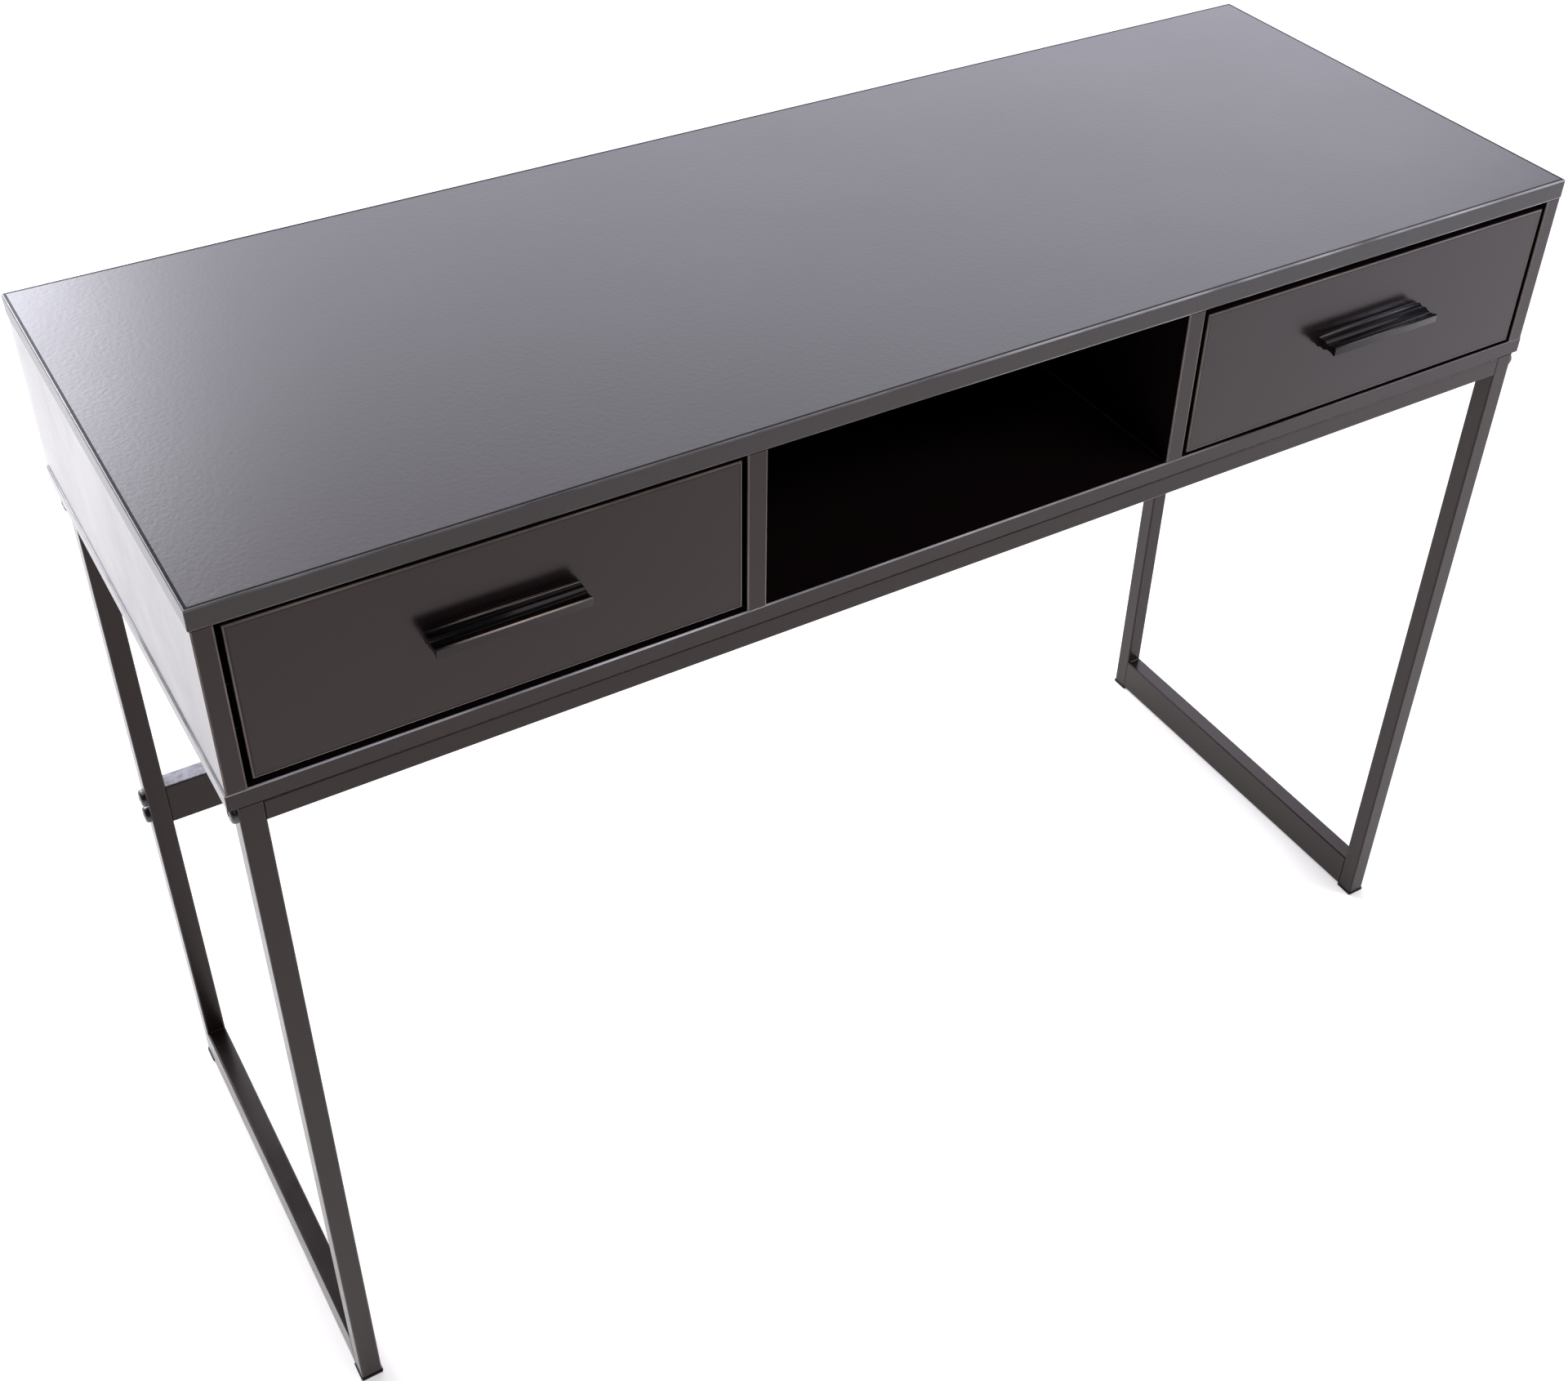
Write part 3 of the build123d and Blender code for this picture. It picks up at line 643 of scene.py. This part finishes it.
# Painted hardboard: pressed wood fibre under one thin coat, so a fine fibrous tooth shows.
PAINTED_HARDBOARD = Finish(
    "black_painted_hardboard", tone="#0e0c0d", tone_low="#0a0909", gloss=0.5, gloss_spread=0.12,
    patch_mm=35.0, relief_mm=2.0, relief_depth_mm=0.03, ior=1.48,
)
# Polyester powder coat baked on steel tube: satin with a slight orange peel.
POWDER_COAT = Finish(
    "black_powder_coat", tone="#120d0c", tone_low="#0e0a09", gloss=0.21, gloss_spread=0.06,
    patch_mm=40.0, relief_mm=1.6, relief_depth_mm=0.012, ior=1.4, tint="#ffeae4",
)
# Extruded aluminium, black anodised: semi-gloss with fine die lines along its length.
BLACK_ANODISED = Finish(
    "black_anodised_aluminium", tone="#0a0a0d", tone_low="#060608", gloss=0.12, gloss_spread=0.05,
    patch_mm=25.0, relief_mm=0.9, relief_depth_mm=0.004, ior=1.43, tint="#fff1ee",
    stretch=(0.02, 1.0, 1.0),
)
# Cold-rolled steel strip with a near-black metal finish: rolling lines run along the slide.
NEAR_BLACK_STEEL_STRIP = Brushed(
    "black_zinc_steel_strip", tone="#232426", tone_low="#1b1c1d", gloss=0.28, gloss_spread=0.1,
    patch_mm=14.0, relief_mm=1.2, relief_depth_mm=0.006, metallic=1.0, stretch=(1.0, 0.03, 1.0),
)
# Barrel-plated zinc on turned screws and die-cast cams: bright with a faint haze.
ZINC_PLATE = Finish(
    "zinc_plated_hardware", tone="#c4c5c2", tone_low="#a7a69e", gloss=0.28, gloss_spread=0.12,
    patch_mm=4.0, relief_mm=0.8, relief_depth_mm=0.006, metallic=1.0,
)
# Black oxide on machine screws: an oily near-black skin that keeps a sharp highlight.
BLACK_OXIDE = Finish(
    "black_oxide_bolt_steel", tone="#151414", tone_low="#0c0b0b", gloss=0.28, gloss_spread=0.1,
    patch_mm=3.0, relief_mm=0.7, relief_depth_mm=0.008, ior=1.7,
)
# The low stretcher is coated the same, with a pale, patchy highlight painted on its level top.
TOP_HIGHLIGHT_POWDER_COAT = DustyTop(
    "black_powder_coat_dusty_top", tone="#120d0c", tone_low="#0e0a09", gloss=0.3,
    gloss_spread=0.06, patch_mm=40.0, relief_mm=1.6, relief_depth_mm=0.012, ior=1.4,
    tint="#ffeae4",
)
# Moulded natural nylon: waxy off-white with a soft bloom.
NATURAL_NYLON = Finish(
    "natural_nylon", tone="#ddd9cb", tone_low="#cfc9b8", gloss=0.38, gloss_spread=0.08,
    patch_mm=6.0, relief_mm=0.9, relief_depth_mm=0.01, ior=1.53,
)
# Moulded polypropylene feet: matt black with a spark-eroded tooth.
MOULDED_FOOT = Finish(
    "moulded_black_polypropylene", tone="#131313", tone_low="#0d0d0d", gloss=0.5, gloss_spread=0.1,
    patch_mm=5.0, relief_mm=0.7, relief_depth_mm=0.02, ior=1.49,
)
# Fluted beech dowel: pale close-grained wood.
BEECH = Timber(
    "beech_dowel", tone="#d2ae82", tone_low="#b98f62", gloss=0.55, gloss_spread=0.1,
    patch_mm=8.0, relief_mm=0.8, relief_depth_mm=0.03, ior=1.45, stretch=(1.0, 1.0, 0.1),
)

FINISHES: dict[Slot, Finish] = {
    Slot.CASE_BOARD: CASE_MELAMINE,
    Slot.DRAWER_BOARD: DRAWER_FOIL,
    Slot.HARDBOARD: PAINTED_HARDBOARD,
    Slot.FRAME_STEEL: POWDER_COAT,
    Slot.SLIDE_STEEL: NEAR_BLACK_STEEL_STRIP,
    Slot.ZINC: ZINC_PLATE,
    Slot.BLACK_BOLT: BLACK_OXIDE,
    Slot.PULL: BLACK_ANODISED,
    Slot.NYLON: NATURAL_NYLON,
    Slot.FOOT: MOULDED_FOOT,
    Slot.DOWEL: BEECH,
}
# Boards and tubes whose own finish differs from the rest of their slot.
FINISH_OF_NODE: dict[str, Finish] = {
    "bottom_board": PAINTED_RIM_HIGHLIGHT_MELAMINE,
    "left_side_panel": FRONT_MELAMINE,
    "right_side_panel": FRONT_MELAMINE,
    "left_divider": FRONT_MELAMINE,
    "right_divider": FRONT_MELAMINE,
    "left_drawer_front": FRONT_MELAMINE,
    "right_drawer_front": FRONT_MELAMINE,
    "rear_stretcher": TOP_HIGHLIGHT_POWDER_COAT,
}


def wear(piece: bpy.types.Object, material: bpy.types.Material) -> None:
    """Give a piece one material and nothing else."""
    piece.data.materials.clear()
    piece.data.materials.append(material)


# ---------------------------------------------------------------------------
# Modelling helpers
# ---------------------------------------------------------------------------
def deselect_all() -> None:
    """Leave nothing selected, so that the next operator touches only its own piece."""
    for thing in bpy.context.view_layer.objects:
        thing.select_set(False)


def edit(piece: bpy.types.Object) -> None:
    """Open one piece, alone, in edit mode."""
    deselect_all()
    piece.select_set(True)
    bpy.context.view_layer.objects.active = piece
    bpy.ops.object.mode_set(mode="EDIT")


def select_vertices(piece: bpy.types.Object, wanted: Callable[[Vector], bool]) -> None:
    """Select the vertices of the piece being edited whose place passes a test.

    Args:
        piece: object open in edit mode.
        wanted: test of a vertex's place.
    """
    bpy.ops.mesh.select_mode(type="VERT")
    bpy.ops.mesh.select_all(action="DESELECT")
    bpy.ops.object.mode_set(mode="OBJECT")
    for vertex in piece.data.vertices:
        vertex.select = wanted(vertex.co)
    bpy.ops.object.mode_set(mode="EDIT")


def settle(piece: bpy.types.Object) -> None:
    """Apply a piece's place, turn and size to its mesh, so that it sits at the origin."""
    deselect_all()
    piece.select_set(True)
    bpy.context.view_layer.objects.active = piece
    bpy.ops.object.transform_apply(location=True, rotation=True, scale=True)


def apply_modifiers(piece: bpy.types.Object) -> None:
    """Apply every modifier of a piece, in order."""
    deselect_all()
    piece.select_set(True)
    bpy.context.view_layer.objects.active = piece
    for modifier in list(piece.modifiers):
        bpy.ops.object.modifier_apply(modifier=modifier.name)


def soften(
    piece: bpy.types.Object, width: float, segments: int, angle: float, smooth: float = 40
) -> None:
    """Round a piece's sharp edges and shade it smooth.

    Args:
        piece: object in object mode.
        width: width of the rounding.
        segments: faces across it.
        angle: edges sharper than this, in degrees, are rounded.
        smooth: edges flatter than this, in degrees, are shaded smooth.
    """
    bevel = piece.modifiers.new("edge_rounding", "BEVEL")
    bevel.width = width
    bevel.segments = segments
    bevel.limit_method = "ANGLE"
    bevel.angle_limit = math.radians(angle)
    apply_modifiers(piece)
    bpy.ops.object.shade_smooth_by_angle(angle=math.radians(smooth))


# ---------------------------------------------------------------------------
# Pieces
# ---------------------------------------------------------------------------
@dataclass
class DrawerPull:
    """Extruded pull of one drawer: a wall foot, a rib, a thumb scoop and a square lip.

    Args:
        side: which drawer it is on.
        edge_mm: rounding of its cut ends and lip.
        stations_mm: distance from the wall and half height of the section at each station.
    """

    side: Side
    edge_mm: float = 0.22
    stations_mm: list[tuple[float, float]] = field(
        default_factory=lambda: [
            (0.0, 4.8), (0.5, 4.05), (1.1, 3.5), (1.9, 3.2), (3.0, 3.02), (4.1, 3.0),
            (4.8, 3.12), (5.2, 3.48), (5.6, 3.7), (6.1, 3.68), (6.6, 3.42), (7.4, 2.98),
            (8.4, 2.55), (9.6, 2.16), (11.0, 1.94), (12.4, 1.98), (13.8, 2.28), (15.0, 2.72),
            (16.0, 3.16), (16.7, 3.42), (17.2, 3.5), (18.0, 2.7),
        ]
    )

    @property
    def node(self) -> str:
        """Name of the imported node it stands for."""
        return f"{self.side.word}_drawer_pull"

    def build(self) -> bpy.types.Object:
        """Shape the section by cutting a bar at each station and drawing it in."""
        low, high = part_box(self.node)
        wall = high.y
        middle_z = (low.z + high.z) / 2
        centre = ((low.x + high.x) / 2, (low.y + high.y) / 2, middle_z)
        bpy.ops.mesh.primitive_cube_add(size=1.0, location=centre)
        pull = bpy.context.active_object
        pull.name = f"{self.side.word}_ribbed_pull"
        pull.data.name = pull.name
        foot_half = self.stations_mm[0][1] * MM
        pull.scale = (high.x - low.x, high.y - low.y, 2 * foot_half)
        settle(pull)
        edit(pull)
        for depth, _ in self.stations_mm[1:-1]:
            bpy.ops.mesh.select_all(action="SELECT")
            bpy.ops.mesh.bisect(plane_co=(0.0, wall - depth * MM, 0.0), plane_no=(0.0, 1.0, 0.0))
        for depth, half in self.stations_mm[1:]:
            station = wall - depth * MM
            select_vertices(pull, lambda co, at=station: abs(co.y - at) < CUT_REACH)
            bpy.ops.transform.resize(
                value=(1.0, 1.0, half * MM / foot_half),
                center_override=(centre[0], station, middle_z),
            )
        bpy.ops.object.mode_set(mode="OBJECT")
        soften(pull, self.edge_mm * MM, 3, 55)
        wear(pull, BLACK_ANODISED.material())
        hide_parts(self.node)
        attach(pull, f"{self.side.word}_drawer")
        return pull


@dataclass
class LegFrame:
    """Weld beads of one leg frame: a short fillet in each inner corner of post and bar.

    Args:
        side: which side of the desk it is on.
        radius_mm: radius of the bead.
        ripples: weld ripples along one bead.
        ripple_depth: size of the bead between ripples, as a share of its full size.
        inset_mm: how far the bead's two ends together stay inside the tube's width.
    """

    side: Side
    radius_mm: float = 1.5
    ripples: int = 7
    ripple_depth: float = 0.8
    inset_mm: float = 3.4

    def corners(self) -> Iterable[tuple[str, Vector, float]]:
        """Name, place and length of the bead in each inner corner."""
        bar_low, bar_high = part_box(f"{self.side.word}_bottom_bar")
        top_low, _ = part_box(f"{self.side.word}_top_bar")
        middle_x = (bar_low.x + bar_high.x) / 2
        length = bar_high.x - bar_low.x - self.inset_mm * MM
        for row, y in ((Row.FRONT, bar_low.y), (Row.REAR, bar_high.y)):
            yield f"{row.value}_lower", Vector((middle_x, y, bar_high.z)), length
            yield f"{row.value}_upper", Vector((middle_x, y, top_low.z)), length

    def bead(self, name: str, place: Vector, length: float) -> bpy.types.Object:
        """Shape one bead from a bar with its rings drawn in between the ripples.

        Args:
            name: which corner it is in.
            place: the corner.
            length: length across the tube.

        Returns:
            The bead.
        """
        bpy.ops.mesh.primitive_cylinder_add(
            vertices=10,
            radius=self.radius_mm * MM,
            depth=length,
            location=place,
            rotation=(0.0, math.radians(90), 0.0),
        )
        bead = bpy.context.active_object
        bead.name = f"{self.side.word}_{name}_weld_bead"
        bead.data.name = bead.name
        settle(bead)
        edit(bead)
        start = place.x - length / 2
        steps = 2 * self.ripples
        for step in range(1, steps):
            bpy.ops.mesh.select_all(action="SELECT")
            bpy.ops.mesh.bisect(
                plane_co=(start + length * step / steps, 0.0, 0.0), plane_no=(1.0, 0.0, 0.0)
            )
        for step in range(0, steps + 1, 2):
            x = start + length * step / steps
            select_vertices(bead, lambda co, at=x: abs(co.x - at) < CUT_REACH)
            bpy.ops.transform.resize(
                value=(1.0, self.ripple_depth, self.ripple_depth),
                center_override=(x, place.y, place.z),
            )
        bpy.ops.object.mode_set(mode="OBJECT")
        bpy.ops.object.shade_smooth_by_angle(angle=math.radians(50))
        wear(bead, POWDER_COAT.material())
        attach(bead, "desk")
        return bead

    def build(self) -> list[bpy.types.Object]:
        """Lay the beads of this leg frame."""
        return [self.bead(*corner) for corner in self.corners()]


@dataclass
class PackedPieces:
    """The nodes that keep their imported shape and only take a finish.
    """

    frame: dict[str, Any]

    def slot_of(self, node: str) -> Slot:
        """Material slot that the record gives a node."""
        for part in self.frame["record"]["subparts"]:
            if part["node"] == node:
                return Slot(part["material_slot"])
        raise KeyError(node)

    def dress(self) -> int:
        """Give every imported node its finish.

        Returns:
            How many nodes were dressed.
        """
        for name, piece in self.frame["nodes"].items():
            finish = FINISH_OF_NODE.get(name, FINISHES[self.slot_of(name)])
            wear(piece, finish.material(piece))
        return len(self.frame["nodes"])


# ---------------------------------------------------------------------------
# Studio
# ---------------------------------------------------------------------------
@dataclass
class Softbox:
    """A rectangular soft light.

    Args:
        name: light name.
        place: where it hangs.
        aim: point that it faces.
        size: width and height.
        power: watts.
        colour: sRGB hex.
    """

    name: str
    place: tuple[float, float, float]
    aim: tuple[float, float, float]
    size: tuple[float, float]
    power: float
    colour: str = "#ffffff"

    def build(self) -> bpy.types.Object:
        """Hang the light and turn it to its aim."""
        lamp = bpy.data.lights.new(self.name, "AREA")
        lamp.shape = "RECTANGLE"
        lamp.size, lamp.size_y = self.size
        lamp.energy = self.power
        lamp.color = linear(self.colour)[:3]
        light = bpy.data.objects.new(self.name, lamp)
        light.location = self.place
        direction = Vector(self.aim) - Vector(self.place)
        light.rotation_euler = direction.to_track_quat("-Z", "Y").to_euler()
        bpy.context.scene.collection.objects.link(light)
        return light


@dataclass
class Studio:
    """Pale floor, soft light and the camera.

    Args:
        camera_place: camera position.
        camera_turn: camera rotation in degrees.
        sensor_mm: width of the sensor.
        lens_mm: focal length.
        shift: framing shift.
        clip: nearest and farthest distance drawn.
        floor_half: half the floor's side.
        floor_glow: light that the floor gives off, as a lit table does.
        world_level: strength of the surrounding light behind the desk.
        world_dim: its strength before the desk, where the room is dark.
        world_turn: rearward part of a direction at which the light starts and ends rising.
    """

    camera_place: tuple[float, float, float] = (-0.68062, -1.05566, 1.43006)
    camera_turn: tuple[float, float, float] = (50.9152, -1.3178, -31.1938)
    sensor_mm: float = 36.0
    lens_mm: float = 45.8265
    shift: tuple[float, float] = (-0.01805, -0.03996)
    clip: tuple[float, float] = (0.05, 60.0)
    floor_half: float = 9.0
    floor_glow: float = 0.35
    world_level: float = 0.86
    world_dim: float = 0.1
    world_turn: tuple[float, float] = (0.1, 0.5)
    softboxes: list[Softbox] = field(
        default_factory=lambda: [
            Softbox("window_left_rear", (-0.95, 2.4, 1.75), (-0.4, 0.2, 1.1), (1.7, 1.3), 83.0,
                    "#f1f4ff"),
            Softbox("wall_rear", (1.6, 2.9, 2.0), (0.3, 0.2, 0.7), (4.2, 2.6), 76.0, "#eeefff"),
            Softbox("front_right", (2.0, -1.4, 2.2), (0.3, -0.2, 0.7), (1.4, 0.4), 6.0, "#f4f6ff"),
            Softbox("front_strip", (0.6, -1.4, 2.25), (0.0, -0.2, 0.7), (1.6, 0.25), 15.0,
                    "#fff4ec"),
            Softbox("overhead_right", (2.3, 0.5, 4.2), (1.6, 0.4, 0.0), (2.4, 3.2), 32.0, "#f2f4ff"),
            Softbox("overhead_left", (-0.8, 0.8, 3.6), (0.1, 0.0, 0.0), (1.6, 1.6), 40.0,
                    "#fff8f2"),
            Softbox("floor_right", (2.3, -1.9, 1.5), (1.5, -1.1, 0.0), (0.9, 0.7), 34.0, "#dfe6ff"),
        ]
    )

    def floor(self) -> bpy.types.Object:
        """Lay the pale painted floor."""
        bpy.ops.mesh.primitive_plane_add(size=2 * self.floor_half, location=(0.0, 0.0, 0.0))
        floor = bpy.context.active_object
        floor.name = "studio_floor"
        edit(floor)
        bpy.ops.mesh.subdivide(number_cuts=8)
        bpy.ops.object.mode_set(mode="OBJECT")
        paint = Finish(
            "pale_studio_paint", tone="#f3f1ee", tone_low="#efece9", gloss=0.7,
            gloss_spread=0.1, patch_mm=700.0, relief_mm=8.0, relief_depth_mm=0.02,
        )
        sheet = paint.material()
        shader = find_node(sheet.node_tree, "BSDF_PRINCIPLED")
        shader.inputs["Emission Color"].default_value = linear("#fffdfb")
        shader.inputs["Emission Strength"].default_value = self.floor_glow
        wear(floor, sheet)
        return floor

    def world(self) -> None:
        """Fill the room with near-white light, full behind the desk and dim before it."""
        world = bpy.data.worlds.new("studio_air")
        bpy.context.scene.world = world
        world.use_nodes = True
        tree = world.node_tree
        background = tree.nodes["Background"]
        background.inputs["Color"].default_value = linear("#eef2ff")
        direction = add_node(tree, "ShaderNodeTexCoord")
        split = add_node(tree, "ShaderNodeSeparateXYZ", links={0: (direction, "Generated")})
        fall = add_node(
            tree,
            "ShaderNodeMapRange",
            {
                "From Min": self.world_turn[0],
                "From Max": self.world_turn[1],
                "To Min": self.world_dim,
                "To Max": self.world_level,
            },
            {"Value": (split, 1)},
            interpolation_type="SMOOTHSTEP",
        )
        tree.links.new(fall.outputs[0], background.inputs["Strength"])

    def camera(self) -> bpy.types.Object:
        """Place the camera and make it the scene's."""
        lens = bpy.data.cameras.new("desk_camera")
        lens.sensor_width = self.sensor_mm
        lens.lens = self.lens_mm
        lens.shift_x, lens.shift_y = self.shift
        lens.clip_start, lens.clip_end = self.clip
        camera = bpy.data.objects.new("desk_camera", lens)
        camera.location = self.camera_place
        camera.rotation_euler = tuple(math.radians(turn) for turn in self.camera_turn)
        bpy.context.scene.collection.objects.link(camera)
        bpy.context.scene.camera = camera
        return camera

    def build(self) -> None:
        """Set up the whole studio."""
        self.floor()
        self.world()
        self.camera()
        for softbox in self.softboxes:
            softbox.build()
        bpy.context.scene.view_settings.view_transform = "Standard"
        bpy.context.scene.view_settings.look = "None"


def main() -> None:
    """Build the desk's looks and its studio, and log how many nodes and faces were made."""
    logging.basicConfig(level=logging.INFO, format="%(name)s: %(message)s")
    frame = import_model()
    LOG.info("dressed %d packed nodes", PackedPieces(frame).dress())
    for side in Side:
        pull = DrawerPull(side).build()
        LOG.info("%s: %d faces", pull.name, len(pull.data.polygons))
        for bead in LegFrame(side).build():
            LOG.info("%s: %d faces", bead.name, len(bead.data.polygons))
    Studio().build()
    LOG.info("studio ready")


if __name__ == "__main__":
    main()
